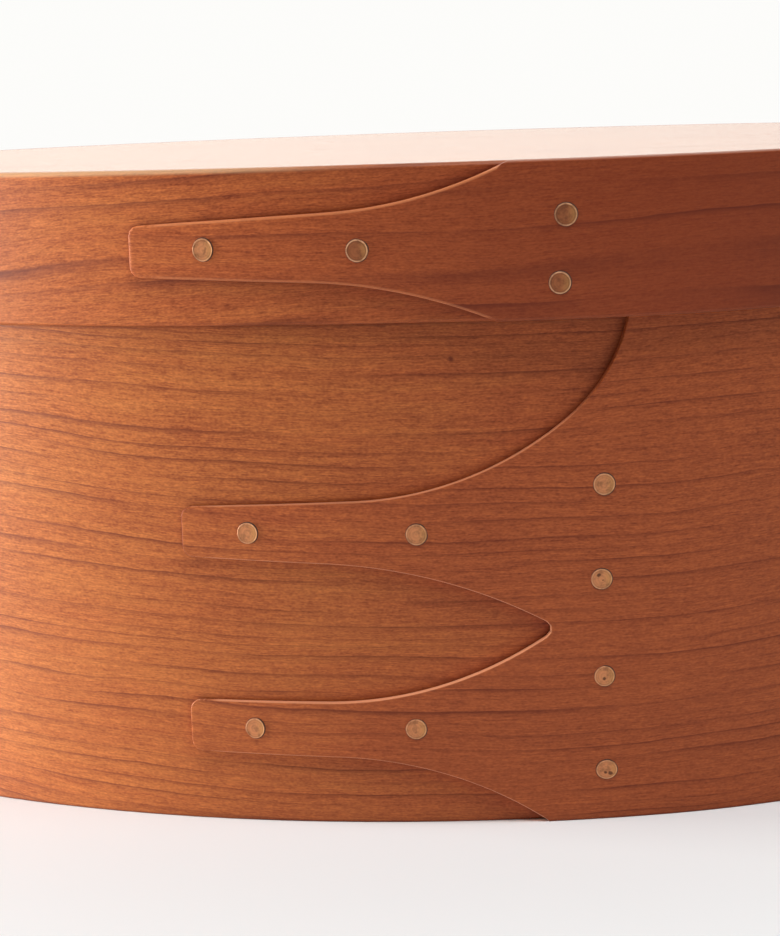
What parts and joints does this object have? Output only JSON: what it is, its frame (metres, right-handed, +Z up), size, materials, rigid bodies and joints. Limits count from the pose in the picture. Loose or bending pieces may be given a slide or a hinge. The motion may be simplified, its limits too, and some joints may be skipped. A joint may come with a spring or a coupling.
{
  "type": "oval bentwood box",
  "caption": "Oval bentwood box with a lift-off lid: thin bent bands lapped in swallowtail fingers and clinched with copper tacks, closed by flat boards.",
  "frame": {"origin": "centre of the oval on the underside of the bottom board", "axes": "+X along the oval, -Y towards the lapped front, +Z up through the lid"},
  "size_m": [0.2536, 0.1829, 0.112],
  "materials": {
    "band_wood": "cherry bent with the grain running round, satin oiled",
    "board_wood": "flat cherry board, satin oiled",
    "tack_copper": "dull copper, sanded flat on the head and slightly tarnished",
    "peg_wood": "end grain, sanded flush and oiled"
  },
  "bodies": {
    "box": {"box_band": "band_wood", "box_bottom_board": "board_wood", "box_tack_1": "tack_copper", "box_tack_2": "tack_copper", "box_tack_3": "tack_copper", "box_tack_4": "tack_copper", "box_tack_5": "tack_copper", "box_tack_6": "tack_copper", "box_tack_7": "tack_copper", "box_tack_8": "tack_copper", "box_peg_01": "peg_wood", "box_peg_02": "peg_wood", "box_peg_03": "peg_wood", "box_peg_04": "peg_wood", "box_peg_05": "peg_wood", "box_peg_06": "peg_wood", "box_peg_07": "peg_wood", "box_peg_08": "peg_wood", "box_peg_09": "peg_wood", "box_peg_10": "peg_wood"},
    "lid": {"lid_band": "band_wood", "lid_top_board": "board_wood", "lid_tack_1": "tack_copper", "lid_tack_2": "tack_copper", "lid_tack_3": "tack_copper", "lid_tack_4": "tack_copper", "lid_peg_01": "peg_wood", "lid_peg_02": "peg_wood", "lid_peg_03": "peg_wood", "lid_peg_04": "peg_wood", "lid_peg_05": "peg_wood", "lid_peg_06": "peg_wood", "lid_peg_07": "peg_wood", "lid_peg_08": "peg_wood", "lid_peg_09": "peg_wood", "lid_peg_10": "peg_wood"}
  },
  "joints": [
    {"name": "lid_lift", "type": "slide", "parent": "box", "child": "lid", "axis": [0, 0, 1], "range_m": [0, 0.12]}
  ]
}
